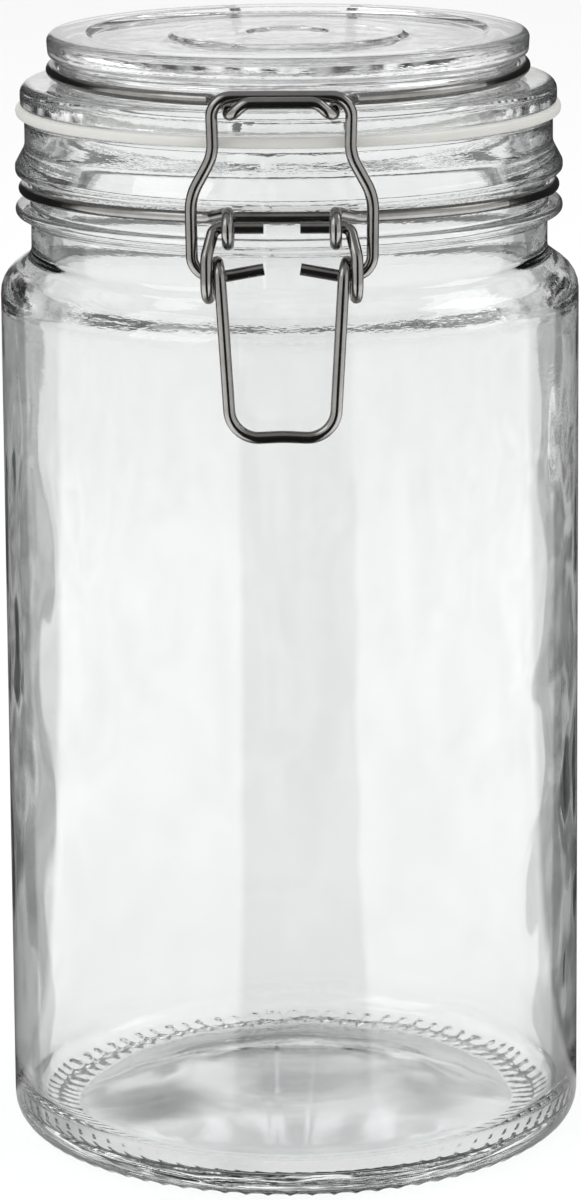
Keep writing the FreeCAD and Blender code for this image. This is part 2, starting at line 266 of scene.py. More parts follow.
def piece_from(
    name: str, vertices: np.ndarray, quads: np.ndarray, triangles: np.ndarray | None = None
) -> bpy.types.Object:
    """Put vertices and faces into a mesh object at the origin.

    Args:
        name: name of the new piece.
        vertices: places in metres, one row each.
        quads: the four-sided faces, as rows of vertex numbers.
        triangles: the three-sided faces, where there are any.

    Returns:
        The new object, smooth shaded and linked to the scene.
    """
    triangles = np.zeros((0, 3), int) if triangles is None else triangles
    mesh = bpy.data.meshes.new(name)
    mesh.vertices.add(len(vertices))
    mesh.vertices.foreach_set("co", vertices.astype(np.float32).ravel())
    loops = np.concatenate([quads.ravel(), triangles.ravel()]).astype(np.int32)
    mesh.loops.add(len(loops))
    mesh.loops.foreach_set("vertex_index", loops)
    starts = np.concatenate([np.arange(len(quads)) * 4, quads.size + np.arange(len(triangles)) * 3])
    mesh.polygons.add(len(starts))
    mesh.polygons.foreach_set("loop_start", starts.astype(np.int32))
    mesh.polygons.foreach_set("use_smooth", np.ones(len(starts), bool))
    mesh.update(calc_edges=True)
    mesh.validate()
    piece = bpy.data.objects.new(name, mesh)
    bpy.context.scene.collection.objects.link(piece)
    return piece


def smooth_step(value: np.ndarray, low: float, high: float) -> np.ndarray:
    """Rise from 0 at low to 1 at high along a cubic with level ends: t squared times 3 less 2 t."""
    t = np.clip((value - low) / (high - low), 0, 1)
    return t * t * (3 - 2 * t)


def bump_at(value: np.ndarray, middle: float, half_width: float) -> np.ndarray:
    """A rounded bump of height 1 at middle that falls to 0 half_width away on each side."""
    return smooth_step(1 - np.abs(value - middle) / half_width, 0, 1)


def teeth(turn: np.ndarray) -> np.ndarray:
    """A wave from 0 up to 1 and back: half of 1 less the cosine."""
    return 0.5 - 0.5 * np.cos(turn)


@dataclass(frozen=True)
class Wave:
    """A sine wave round a turned surface that may lean as it climbs.

    Attributes:
        count: how many of it stand round the surface.
        climb: height in millimetres over which it runs on by a radian, infinite where it stands upright.
        start: where it starts, in radians.
    """

    count: int = 0
    climb: float = math.inf
    start: float = 0.0

    def over(self, azimuth: np.ndarray, height: np.ndarray | float) -> np.ndarray:
        """The wave over a grid: the sine of count times azimuth, plus height over climb, plus start."""
        return np.sin(self.count * azimuth + height / self.climb + self.start)


@dataclass(frozen=True)
class Swell:
    """Two waves multiplied together, with the share that they have of a surface's unevenness.

    Attributes:
        share: their share.
        first: the one wave.
        second: the other.
        aside: whether they fade towards the front and the back.
    """

    share: float
    first: Wave
    second: Wave
    aside: bool = False


# ------------------------------------------------------------------------------------------------------------
# Finishes
# ------------------------------------------------------------------------------------------------------------


class Nodes:
    """A node tree, with short calls for the nodes that the finishes and the studio use."""

    def __init__(self, owner: bpy.types.Material | bpy.types.World, output: str) -> None:
        """Start an empty node tree.

        Args:
            owner: the material or world that it belongs to.
            output: Blender's name for its output node.
        """
        owner.use_nodes = True
        self.owner = owner
        self.tree = owner.node_tree
        self.tree.nodes.clear()
        self.output = self.add(output)

    @classmethod
    def of_material(cls, name: str) -> "Nodes":
        """Start a new material with that name."""
        return cls(bpy.data.materials.new(name), "ShaderNodeOutputMaterial")

    @classmethod
    def of_world(cls, name: str) -> "Nodes":
        """Start a new world with that name."""
        return cls(bpy.data.worlds.new(name), "ShaderNodeOutputWorld")

    def add(self, kind: str, inputs: dict | None = None, **settings: object) -> bpy.types.Node:
        """Add a node, set its own settings, and set or link its inputs.

        Args:
            kind: Blender's name for the node.
            inputs: a value or an output socket for each input, by name or number.
            settings: the node's own properties.

        Returns:
            The new node.
        """
        node = self.tree.nodes.new(kind)
        for key, value in settings.items():
            setattr(node, key, value)
        for key, value in (inputs or {}).items():
            if isinstance(value, Socket):
                self.tree.links.new(value, node.inputs[key])
            else:
                node.inputs[key].default_value = value
        return node

    def math(self, operation: str, a: Number, b: Number = 0.0) -> Socket:
        """One step of arithmetic on two numbers or sockets."""
        return self.add("ShaderNodeMath", {0: a, 1: b}, operation=operation).outputs[0]

    def times(self, a: Number, b: Number) -> Socket:
        """The product of two."""
        return self.math("MULTIPLY", a, b)

    def plus(self, a: Number, b: Number) -> Socket:
        """The sum of two."""
        return self.math("ADD", a, b)

    def left(self, share: Number) -> Socket:
        """What a share leaves of 1."""
        return self.math("SUBTRACT", 1.0, share)

    def fade(self, share: Number, first: Number, second: Number) -> Socket:
        """Go from the first value to the second as a share goes from 0 to 1."""
        return self.plus(self.times(first, self.left(share)), self.times(second, share))

    def ramp(
        self, value: Number, span: Span, low: Number = 0.0, high: Number = 1.0, rise: Rise = Rise.SOFT
    ) -> Socket:
        """Go from one value to another over a span, and stay level on both sides of it.

        Args:
            value: what the ramp follows.
            span: where the ramp starts and ends.
            low: the result at its start.
            high: the result at its end.
            rise: how it goes between them.

        Returns:
            The result.
        """
        inputs = {"Value": value, "From Min": span[0], "From Max": span[1], "To Min": low, "To Max": high}
        return self.add("ShaderNodeMapRange", inputs, interpolation_type=rise.value).outputs["Result"]

    def between(self, factor: Number, span: Span) -> Socket:
        """Spread a factor of 0 to 1 evenly between two numbers."""
        return self.ramp(factor, (0.0, 1.0), *span, Rise.EVEN)

    def place(self) -> Socket:
        """The object's own coordinates, in metres."""
        return self.add("ShaderNodeTexCoord").outputs["Object"]

    def parts(self, where: Socket) -> tuple[Socket, ...]:
        """The three parts of a place or direction."""
        return tuple(self.add("ShaderNodeSeparateXYZ", {0: where}).outputs)

    def length(self, where: Socket) -> Socket:
        """How far a place is from the origin."""
        return self.add("ShaderNodeVectorMath", {0: where}, operation="LENGTH").outputs["Value"]

    def azimuth(self, where: Socket) -> Socket:
        """The azimuth of a place or direction in radians: the angle whose tangent is x over -y."""
        x, y, _ = self.parts(where)
        return self.math("ARCTAN2", x, self.times(y, -1.0))

    def path(self, fact: str) -> Socket:
        """A fact about the light's path, by Blender's name for it."""
        return self.add("ShaderNodeLightPath").outputs[fact]

    def mirrored(self) -> Socket:
        """1 for light that has been mirrored on its way, else 0."""
        return self.math("GREATER_THAN", self.path("Glossy Depth"), 0.5)

    def inside(self) -> Socket:
        """1 for light that has gone into glass on its way, else 0."""
        return self.math("GREATER_THAN", self.path("Transmission Depth"), 0.5)

    def noise(self, size: float, detail: float, rough: float, where: Socket | None = None) -> Socket:
        """Soft noise from 0 to 1.

        Args:
            size: features to the metre.
            detail: how many times it is laid over itself at half the size.
            rough: strength of each such layer, as a share of the one before.
            where: place, when it isn't the object's own.

        Returns:
            The noise.
        """
        where = self.place() if where is None else where
        inputs = {"Vector": where, "Scale": size, "Detail": detail, "Roughness": rough}
        return self.add("ShaderNodeTexNoise", inputs).outputs["Fac"]

    def blend(self, factor: Number, first: Socket | Colour, second: Socket | Colour) -> Socket:
        """Mix two colours."""
        return self.add("ShaderNodeMix", {0: factor, 6: first, 7: second}, data_type="RGBA").outputs[2]

    def bump(self, height: Socket, depth: float, strength: float = 1.0) -> Socket:
        """A normal from a height of 0 to 1 that stands for a depth in metres."""
        inputs = {"Height": height, "Distance": depth, "Strength": strength}
        return self.add("ShaderNodeBump", inputs).outputs["Normal"]

    def mix(self, share: Socket, first: bpy.types.Node, second: bpy.types.Node) -> bpy.types.Node:
        """Go from the first shader to the second as a share goes from 0 to 1."""
        return self.add("ShaderNodeMixShader", {0: share, 1: first.outputs[0], 2: second.outputs[0]})

    def finish(self, shader: bpy.types.Node) -> bpy.types.Material | bpy.types.World:
        """Send a shader to the output and hand back the material or world."""
        self.tree.links.new(shader.outputs[0], self.output.inputs["Surface"])
        return self.owner


@dataclass(frozen=True)
class ClearGlass:
    """Pressed soda glass: almost colourless, with a slow ripple and a fine pebbled skin left by the mould,
    and painted shade where an upright wall is met edge on.

    Attributes:
        tint: colour of the glass where it is met squarely.
        edge_painted_shade: painted shade, the colour of an upright wall where it is met nearly edge on, in
            place of the dark edges that bent light gives there.
        edge: how far from square a wall is met where the painted shade starts and where it is full, 0 to 1.
        upright: tilt, as the normal's upward part, from which a wall starts to count as upright, and to which
            it fully does.
        bend: the glass's index of refraction.
        ripple_size: slow ripples to the metre.
        ripple_depth: their depth in metres.
        skin_size: pebbles of the skin to the metre.
        skin_depth: their depth in metres.
        skin_stretch: how much closer the pebbles stand along x, y and z.
        skin_least: share of its depth that the skin has low down.
        skin_heights: heights in metres between which it gets its full depth.
        film: roughness where hands and washing have left a film.
        film_size: patches of film to the metre.
        film_span: the noise at which film starts, and at which it is complete.
        turns: how often light may turn in the glass before it goes straight out.
        spent: colour of light that has turned that often.
        through: colour of light that goes straight through from a lamp.
    """

    name: str
    tint: Colour = (0.917, 0.923, 0.922, 1.0)
    edge_painted_shade: Colour = (0.36, 0.365, 0.365, 1.0)
    edge: Span = (0.595, 0.625)
    upright: Span = (0.9, 0.6)
    bend: float = 1.51
    ripple_size: float = 55.0
    ripple_depth: float = 0.00022
    skin_size: float = 900.0
    skin_depth: float = 0.000011
    skin_stretch: tuple[float, float, float] = (0.45, 0.45, 2.0)
    skin_least: float = 0.2
    skin_heights: Span = (0.12, 0.15)
    film: float = 0.035
    film_size: float = 28.0
    film_span: Span = (0.5, 0.75)
    turns: float = 11.5
    spent: Colour = (0.22, 0.225, 0.225, 1.0)
    through: Colour = (0.97, 0.975, 0.975, 1.0)

    def material(self) -> bpy.types.Material:
        """Build the glass, which lets lamps through so that it throws no hard shadow.

        Returns:
            The new material.
        """
        nodes = Nodes.of_material(self.name)
        normal = nodes.bump(self._surface(nodes), self.ripple_depth)
        film = nodes.noise(self.film_size, detail=2.0, rough=0.6)
        glass = nodes.add(
            "ShaderNodeBsdfPrincipled",
            {
                # Base colour: the glass's tint, with painted shade on upright walls that are met edge on.
                "Base Color": nodes.blend(self._painted_edge_shade(nodes, normal), self.tint, self.edge_painted_shade),
                "Roughness": nodes.ramp(film, self.film_span, high=self.film, rise=Rise.EVEN),
                "IOR": self.bend,
                "Transmission Weight": 1.0,
                "Normal": normal,
            },
        )
        lost = nodes.math("GREATER_THAN", nodes.path("Ray Depth"), self.turns)
        lamp = nodes.math("MAXIMUM", nodes.path("Is Shadow Ray"), nodes.path("Is Diffuse Ray"))
        clear = nodes.add("ShaderNodeBsdfTransparent", {"Color": nodes.blend(lost, self.through, self.spent)})
        return nodes.finish(nodes.mix(nodes.math("MAXIMUM", lamp, lost), glass, clear))

    def _surface(self, nodes: Nodes) -> Socket:
        """Lay the fine skin on the slow ripple.

        Args:
            nodes: the glass's node tree.

        Returns:
            The height of the surface, as a share of the ripple's depth.
        """
        ripple = nodes.noise(self.ripple_size, detail=1.5, rough=0.4)
        inputs = {0: nodes.place(), 1: self.skin_stretch}
        stretched = nodes.add("ShaderNodeVectorMath", inputs, operation="MULTIPLY").outputs[0]
        skin = nodes.noise(self.skin_size, detail=2.0, rough=0.6, where=stretched)
        height = nodes.parts(nodes.place())[2]
        amount = nodes.ramp(height, self.skin_heights, low=self.skin_least, rise=Rise.EVEN)
        share = nodes.times(amount, self.skin_depth / self.ripple_depth)
        return nodes.plus(ripple, nodes.times(skin, share))

    def _painted_edge_shade(self, nodes: Nodes, normal: Socket) -> Socket:
        """Find where an upright wall is met edge on, from outside, where painted shade darkens the glass in
        place of the dark edges that bent light gives there.

        Args:
            nodes: the glass's node tree.
            normal: the surface's normal, with its bumps.

        Returns:
            A share from 0, met squarely, to 1, met edge on.
        """
        facing = nodes.add("ShaderNodeLayerWeight", {"Blend": 0.5, "Normal": normal}).outputs["Facing"]
        turned = nodes.ramp(facing, self.edge)
        shape = nodes.add("ShaderNodeNewGeometry")
        tilt = nodes.math("ABSOLUTE", nodes.parts(shape.outputs["True Normal"])[2])
        upright = nodes.ramp(tilt, self.upright, rise=Rise.EVEN)
        return nodes.times(turned, nodes.times(upright, nodes.left(shape.outputs["Backfacing"])))


@dataclass(frozen=True)
class SoftRubber:
    """Pale translucent rubber with a satin skin and faint grey dust in its moulded surface.

    Attributes:
        dusty: its colour where dust lies.
        dust_size: patches of dust to the metre.
        dust_share: share of the dusty colour, least and most.
        grain_size: grains of the skin to the metre.
        grain_depth: their depth in metres.
        grain_strength: how much of that depth shows.
        satin: roughness, least and most.
        glow: how much light the rubber takes in and lets out beside.
        glow_reach: how far that light goes, in metres.
        glow_colours: that reach for red, green and blue, as shares.
    """

    name: str
    pale: Colour = (0.66, 0.658, 0.63, 1.0)
    dusty: Colour = (0.56, 0.558, 0.54, 1.0)
    dust_size: float = 90.0
    dust_share: Span = (0.0, 0.8)
    grain_size: float = 2600.0
    grain_depth: float = 0.00002
    grain_strength: float = 0.6
    satin: Span = (0.38, 0.56)
    glow: float = 0.6
    glow_reach: float = 0.0016
    glow_colours: tuple[float, float, float] = (1.0, 0.95, 0.85)

    def material(self) -> bpy.types.Material:
        """Build the rubber.

        Returns:
            The new material.
        """
        nodes = Nodes.of_material(self.name)
        dust = nodes.noise(self.dust_size, detail=5.0, rough=0.6)
        grain = nodes.noise(self.grain_size, detail=3.0, rough=0.6)
        rubber = nodes.add(
            "ShaderNodeBsdfPrincipled",
            {
                "Base Color": nodes.blend(nodes.between(dust, self.dust_share), self.pale, self.dusty),
                "Roughness": nodes.between(grain, self.satin),
                "Subsurface Weight": self.glow,
                "Subsurface Radius": self.glow_colours,
                "Subsurface Scale": self.glow_reach,
                "Normal": nodes.bump(grain, self.grain_depth, self.grain_strength),
            },
        )
        return nodes.finish(rubber)


@dataclass(frozen=True)
class DrawnSteel:
    """Bright drawn stainless wire: fine scratches, slight dents and a soft film that dulls it in places.

    Attributes:
        dull: its colour under film.
        film_size: patches of film to the metre.
        film_share: share of the dull colour, least and most; less than 0 keeps part of the steel bare.
        scratch_size: scratches to the metre.
        scratch_share: their depth as a share of the dents'.
        dent_size: dents to the metre.
        dent_depth: their depth in metres.
        dent_strength: how much of that depth shows.
        polish: roughness, least and most.
    """

    name: str
    bright: Colour = (0.27, 0.265, 0.257, 1.0)
    dull: Colour = (0.11, 0.108, 0.104, 1.0)
    film_size: float = 160.0
    film_share: Span = (-0.2, 1.0)
    scratch_size: float = 5200.0
    scratch_share: float = 0.35
    dent_size: float = 900.0
    dent_depth: float = 0.00001
    dent_strength: float = 0.7
    polish: Span = (0.06, 0.18)

    def material(self) -> bpy.types.Material:
        """Build the steel.

        Returns:
            The new material.
        """
        nodes = Nodes.of_material(self.name)
        film = nodes.noise(self.film_size, detail=4.0, rough=0.6)
        scratches = nodes.noise(self.scratch_size, detail=3.0, rough=0.7)
        dents = nodes.noise(self.dent_size, detail=2.0, rough=0.5)
        height = nodes.plus(nodes.times(scratches, self.scratch_share), dents)
        steel = nodes.add(
            "ShaderNodeBsdfPrincipled",
            {
                "Base Color": nodes.blend(nodes.between(film, self.film_share), self.bright, self.dull),
                "Metallic": 1.0,
                "Roughness": nodes.between(nodes.plus(film, scratches), self.polish),
                "Normal": nodes.bump(height, self.dent_depth, self.dent_strength),
            },
        )
        return nodes.finish(steel)


# ------------------------------------------------------------------------------------------------------------
# Glass jar
# ------------------------------------------------------------------------------------------------------------


@dataclass
class Jar:
    """The glass jar: a blown body with an uneven inner wall, a stippled foot and two ribs round the neck.

    Attributes:
        step: longest stretch of its outline, in millimetres.
        foot_band: height under which the outline is divided finely.
        wall: thickness of the body's wall and of its floor.
        foot_radius: inner radius of the flat ring that the jar stands on.
        dome_height: rise of the domed bottom over that ring.
        shoulder_height: height where the body turns in to the shoulder.
        neck_radius: radius of the neck below the ribs.
        lower_rib: heights of the lower rib's underside, its lower edge and its upper edge.
        groove_radius: radius of the groove between the ribs, which holds the wire.
        upper_rib: heights of the upper rib's lower edge and upper edge, and of the end of its slope.
        throat: heights where the inside starts to widen below the mouth, and where it has widened.
        beads: beads, and teeth, round the foot.
        bead_ring: radius of the ring of beads, half of whose width is bead_width.
        bead_depth: how far the glass rises between the beads.
        bead_fullness: power that fills the beads out.
        tooth_ring: radius of the ring of teeth, half of whose width is tooth_width.
        tooth_depth: how far the glass rises between the teeth.
        tooth_fullness: power that fills the ring's section out.
        tooth_slant: turn of the teeth in radians to the millimetre outwards.
        foot_height: height up to which beads and teeth reach.
        seam_azimuth: where the mould's parting line runs, in degrees.
        seam_width: its half width in degrees.
        seam_height: how far it stands proud of the neck.
        seam_faint: share of that height on the body.
        seam_ends: heights between which it starts, grows to its full height, and ends.
        unevenness: depth of the inner wall's swells.
        uneven_from: heights between which they start.
        uneven_to: heights between which they end.
        front_share: share that is left in front and behind of swells that keep aside.
    """

    columns: int = 468
    step: float = 3.5
    foot_band: float = 0.3
    body_radius: float = 50.0
    wall: float = 3.2
    foot_radius: float = 38.6
    dome_height: float = 3.6
    shoulder_height: float = 151.6
    neck_radius: float = 44.6
    neck_height: float = 155.5
    rib_radius: float = 47.2
    lower_rib: tuple[float, float, float] = (161.84, 162.74, 164.3)
    groove_radius: float = 44.4
    upper_rib: tuple[float, float, float] = (169.5, 171.1, 174.3)
    rim_radius: float = 45.5
    rim_height: float = 179.4
    mouth_radius: float = 42.0
    throat: Span = (153.0, 148.2)
    beads: int = 78
    bead_ring: float = 46.7
    bead_width: float = 1.9
    bead_depth: float = 0.8
    bead_fullness: float = 0.7
    tooth_ring: float = 41.8
    tooth_width: float = 2.9
    tooth_depth: float = 0.4
    tooth_fullness: float = 0.5
    tooth_slant: float = 0.55
    foot_height: float = 2.4
    seam_azimuth: float = -3.0
    seam_width: float = 0.8
    seam_height: float = 0.16
    seam_faint: float = 0.3
    seam_ends: tuple[Span, Span, Span] = ((2.0, 8.0), (152.0, 160.0), (177.0, 179.0))
    unevenness: float = 0.22
    uneven_from: Span = (12.0, 34.0)
    uneven_to: Span = (132.0, 150.0)
    front_share: float = 0.2
    swells: tuple[Swell, ...] = (
        Swell(0.6, Wave(2, start=0.6), Wave(climb=23.0, start=0.4)),
        Swell(0.4, Wave(5, climb=31.0), Wave(climb=11.5, start=1.1 + ROUND / 4)),
        Swell(0.9, Wave(9, climb=-37.0, start=2.0), Wave(climb=6.3, start=0.5), aside=True),
        Swell(0.12, Wave(31, climb=60.0), Wave(12, climb=-44.0), aside=True),
    )

    def outline(self) -> Outline:
        """The jar's section: from under the domed bottom up the outside, over the rim and down the inside.

        Returns:
            The outline.
        """
        half = self.foot_radius / 2
        inner = self.body_radius - self.wall
        dome = self.dome_height
        corners = [
            Corner(0, dome),
            Corner(half, dome, rounding=60),
            Corner(self.foot_radius, 0, rounding=0.8),
            Corner(self.body_radius, 0, rounding=5.0),
            Corner(self.body_radius, self.shoulder_height, rounding=5.5),
            Corner(self.neck_radius, self.neck_height, rounding=2.4),
            Corner(self.neck_radius, self.lower_rib[0], rounding=0.9),
            Corner(self.rib_radius, self.lower_rib[1], rounding=0.7),
            Corner(self.rib_radius, self.lower_rib[2], rounding=0.7),
            Corner(self.groove_radius, self.lower_rib[2], rounding=0.5),
            Corner(self.groove_radius, self.upper_rib[0], rounding=0.5),
            Corner(self.rib_radius, self.upper_rib[0], rounding=0.7),
            Corner(self.rib_radius, self.upper_rib[1], rounding=0.9),
            Corner(self.rim_radius, self.upper_rib[2], rounding=3.0),
            Corner(self.rim_radius, self.rim_height, rounding=0.8),
            Corner(self.mouth_radius, self.rim_height, rounding=0.8),
            Corner(self.mouth_radius, self.throat[0], rounding=4.0),
            Corner(inner, self.throat[1], rounding=6.0),
            Corner(inner, self.wall, rounding=7.0),
            Corner(self.foot_radius, self.wall, rounding=6.0),
            Corner(half, dome + self.wall, rounding=60),
            Corner(0, dome + self.wall),
        ]
        return Outline(corners, self.step, self.foot_band)

    def build(self) -> bpy.types.Object:
        """Turn the outline, then press in the stippled foot, the mould's seam and the uneven inner wall.

        Returns:
            The jar's glass.
        """
        azimuth = evenly_round(self.columns)
        radius, height = self.outline().spread(azimuth)
        inside = self._inside(height[:, :1])
        outside = 1 - inside
        radius = radius + inside * self._uneven(azimuth, height) + outside * self._seam(azimuth, height)
        height = height + outside * self._foot(azimuth, radius, height)
        piece = turned_mesh("jar_body_glass", radius, height, azimuth)
        piece.data.materials.append(ClearGlass("jar_clear_glass").material())
        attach(piece, "jar")
        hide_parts("jar")
        return piece

    @staticmethod
    def _inside(height: np.ndarray) -> np.ndarray:
        """Tell the inner side of the outline, which comes after the last of its highest points.

        Args:
            height: height of each point, one row each.

        Returns:
            1 at each point of the inner side, and 0 at the others.
        """
        rim = np.flatnonzero(np.isclose(height, height.max()))[-1]
        return (np.arange(len(height)) > rim).astype(float)[:, None]

    def _uneven(self, azimuth: np.ndarray, height: np.ndarray) -> np.ndarray:
        """Unevenness of the blown inner wall: the sum of the swells, each a product of two waves, which fades
        out near the floor and at the neck. The swells that keep aside go with the azimuth's sine squared.

        Args:
            azimuth: azimuths round the jar.
            height: height over the grid.

        Returns:
            How far the wall is moved outwards, over the grid.
        """
        free = smooth_step(height, *self.uneven_from) * (1 - smooth_step(height, *self.uneven_to))
        aside = self.front_share + (1 - self.front_share) * np.sin(azimuth) ** 2
        swells = sum(
            swell.share
            * swell.first.over(azimuth, height)
            * swell.second.over(azimuth, height)
            * (aside if swell.aside else 1.0)
            for swell in self.swells
        )
        return self.unevenness * free * swells

    def _seam(self, azimuth: np.ndarray, height: np.ndarray) -> np.ndarray:
        """The mould's parting line: a ridge in front and behind, fainter on the body. Across, it is e to the
        minus square of the distance over its width.

        Args:
            azimuth: azimuths round the jar.
            height: height over the grid.

        Returns:
            How far the wall is moved outwards, over the grid.
        """
        turn = np.degrees(azimuth) - self.seam_azimuth
        away = np.abs((turn + 90) % 180 - 90)
        ridge = np.exp(-((away / self.seam_width) ** 2))
        start, full, end = (smooth_step(height, *span) for span in self.seam_ends)
        strength = self.seam_faint + (1 - self.seam_faint) * full
        return self.seam_height * ridge * strength * start * (1 - end)

    def _foot(self, azimuth: np.ndarray, radius: np.ndarray, height: np.ndarray) -> np.ndarray:
        """The stippled ring that the jar stands on: slanted teeth and, outside them, round beads. Each is a
        bump across its ring times a wave round the jar, whose turn for the teeth grows with the radius.

        Args:
            azimuth: azimuths round the jar.
            radius: radius over the grid.
            height: height over the grid.

        Returns:
            How far the glass rises between them, over the grid.
        """
        slant = self.beads * azimuth + (radius - self.tooth_ring) * self.tooth_slant
        ring = bump_at(radius, self.tooth_ring, self.tooth_width) ** self.tooth_fullness
        inner = ring * self.tooth_depth * teeth(slant)
        ring = bump_at(radius, self.bead_ring, self.bead_width)
        outer = ring * self.bead_depth * teeth(self.beads * azimuth) ** self.bead_fullness
        return (inner + outer) * (height < self.foot_height)


# ------------------------------------------------------------------------------------------------------------
# Lid and gasket
# ------------------------------------------------------------------------------------------------------------


@dataclass
class Lid:
    """The pressed glass lid: a plug with a hollow, a flange, a groove for its wire and a ringed top.

    Attributes:
        step: longest stretch of its outline, in millimetres.
        hollow_radius: radius of the hollow at its ceiling.
        plug_radii: inner and outer radius of the plug's lower edge.
        flange_radius: radius of the flange.
        flange_heights: heights of its underside and upper side.
        groove_height: height where the groove over the flange ends, and the top disc starts.
        disc_radii: radius of the top disc at its underside and at its top.
        rim: radius of the raised rim's inner edge at its top and at its foot.
        rim_height: height of the raised rim, the lid's highest.
        panel_height: height of the panel inside the rim.
        ring: radius of the raised ring's outer edge at its foot and top, then of its inner edge. The
            dish lies inside it.
        sink: depth of the top's sink marks.
        sink_count: sink marks round the top.
        sink_lean: radius in millimetres over which the wave runs on by a radian.
        sink_from: radii between which they start.
        sink_to: radius where they end.
        sink_above: height over which they lie.
    """

    columns: int = 288
    step: float = 1.6
    hollow_radius: float = 35.0
    hollow_height: float = 188.6
    plug_radii: Span = (35.8, 39.4)
    plug_height: float = 177.9
    flange_radius: float = 46.2
    flange_heights: Span = (181.3, 185.2)
    groove_height: float = 189.7
    disc_radii: Span = (41.3, 41.6)
    rim: Span = (34.8, 33.6)
    rim_height: float = 193.7
    panel_height: float = 192.7
    ring: tuple[float, float, float] = (20.7, 19.8, 7.2)
    ring_height: float = 193.4
    dish_radius: float = 6.7
    dish_height: float = 193.0
    sink: float = 0.05
    sink_count: int = 3
    sink_lean: float = 5.0
    sink_from: Span = (1.0, 9.0)
    sink_to: float = 33.0
    sink_above: float = 192.0
    ripple_size: float = 38.0
    ripple_depth: float = 0.0003

    def outline(self) -> Outline:
        """The lid's section: from the hollow's ceiling round the plug and the flange to the top's middle.

        Returns:
            The outline.
        """
        corners = [
            Corner(0, self.hollow_height),
            Corner(self.hollow_radius, self.hollow_height, rounding=2.5),
            Corner(self.plug_radii[0], self.plug_height, rounding=0.9),
            Corner(self.plug_radii[1], self.plug_height, rounding=1.0),
            Corner(self.plug_radii[1], self.flange_heights[0]),
            Corner(self.flange_radius, self.flange_heights[0], rounding=0.5),
            Corner(self.flange_radius, self.flange_heights[1], rounding=1.8),
            Corner(self.plug_radii[1], self.flange_heights[1], rounding=0.6),
            Corner(self.plug_radii[1], self.groove_height, rounding=0.6),
            Corner(self.disc_radii[0], self.groove_height, rounding=0.7),
            Corner(self.disc_radii[1], self.rim_height, rounding=1.4),
            Corner(self.rim[0], self.rim_height, rounding=0.9),
            Corner(self.rim[1], self.panel_height, rounding=0.9),
            Corner(self.ring[0], self.panel_height, rounding=0.7),
            Corner(self.ring[1], self.ring_height, rounding=0.5),
            Corner(self.ring[2], self.ring_height, rounding=0.4),
            Corner(self.dish_radius, self.dish_height, rounding=0.4),
            Corner(0, self.dish_height),
        ]
        return Outline(corners, self.step)

    def build(self) -> bpy.types.Object:
        """Turn the outline and give the pressed top its slight sink marks.

        Returns:
            The lid's glass.
        """
        azimuth = evenly_round(self.columns)
        radius, height = self.outline().spread(azimuth)
        height = height - self._sunk(azimuth, radius, height)
        piece = turned_mesh("lid_pressed_glass", radius, height, azimuth)
        glass = ClearGlass("lid_clear_glass", ripple_size=self.ripple_size, ripple_depth=self.ripple_depth)
        piece.data.materials.append(glass.material())
        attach(piece, "lid")
        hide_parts("lid")
        return piece

    def _sunk(self, azimuth: np.ndarray, radius: np.ndarray, height: np.ndarray) -> np.ndarray:
        """Sink marks: half of 1 plus the sine of sink_count times the azimuth plus the radius over sink_lean.

        Args:
            azimuth: azimuths round the lid.
            radius: radius over the grid.
            height: height over the grid.

        Returns:
            How far the top has sunk, over the grid.
        """
        wave = 0.5 + 0.5 * np.sin(self.sink_count * azimuth + radius / self.sink_lean)
        top = (height > self.sink_above) * (radius < self.sink_to) * smooth_step(radius, *self.sink_from)
        return self.sink * wave * top


@dataclass
class Gasket:
    """The soft sealing ring, squeezed a little between the jar's rim and the lid's flange.

    Attributes:
        side_power: power of the cosine that carries the section across; the lower, the squarer.
        face_power: power of the sine that carries it up.
        bulge: how much further the middle of the outer edge stands out than its corners.
        wander: depth of the waves of the outer edge.
        quick_share: depth of the quick wave, as a share of the slow one's.
    """

    columns: int = 288
    section_points: int = 56
    inner: float = 39.8
    outer: float = 47.0
    low: float = 179.4
    high: float = 181.3
    side_power: float = 0.22
    face_power: float = 0.32
    bulge: float = 0.28
    wander: float = 0.07
    slow: Wave = Wave(4, start=0.7)
    quick: Wave = Wave(11)
    quick_share: float = 0.5

    def build(self) -> bpy.types.Object:
        """Carry a rounded section round the ring: the cosine and the sine of its turn, each to a low power,
        times half its width and half its height. The outer edge is drawn in by the bulge times the square of
        how far up or down a point lies, and by its waves.

        Returns:
            The gasket.
        """
        turn = evenly_round(self.section_points)[:, None]
        azimuth = evenly_round(self.columns)
        across = np.sign(np.cos(turn)) * np.abs(np.cos(turn)) ** self.side_power
        up = np.sign(np.sin(turn)) * np.abs(np.sin(turn)) ** self.face_power
        waves = self.slow.over(azimuth, 0.0) + self.quick_share * self.quick.over(azimuth, 0.0)
        inwards = (self.bulge * up**2 + self.wander * (1 + self.quick_share - waves)) * (across > 0)
        radius = (self.inner + self.outer) / 2 + (self.outer - self.inner) / 2 * across - inwards
        height = (self.low + self.high) / 2 + (self.high - self.low) / 2 * up + 0 * azimuth
        piece = ring_mesh("gasket_soft_ring", radius, height, azimuth)
        piece.data.materials.append(SoftRubber("gasket_rubber").material())
        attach(piece, "lid")
        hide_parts("gasket")
        return piece


# ------------------------------------------------------------------------------------------------------------
# Clasp
# ------------------------------------------------------------------------------------------------------------


@dataclass
class Clasp:
    """The bent wires of the clasp, which keep their own shapes and share one steel."""

    wires: tuple[str, ...] = ("neck_wire", "lid_wire", "lever", "bail")

    def dress(self) -> None:
        """Give each wire the drawn steel."""
        steel = DrawnSteel("clasp_drawn_steel").material()
        for name in self.wires:
            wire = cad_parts[name]
            if not wire.material_slots:
                wire.data.materials.append(steel)
            for slot in wire.material_slots:
                slot.material = steel


# ------------------------------------------------------------------------------------------------------------
# Studio
# ------------------------------------------------------------------------------------------------------------


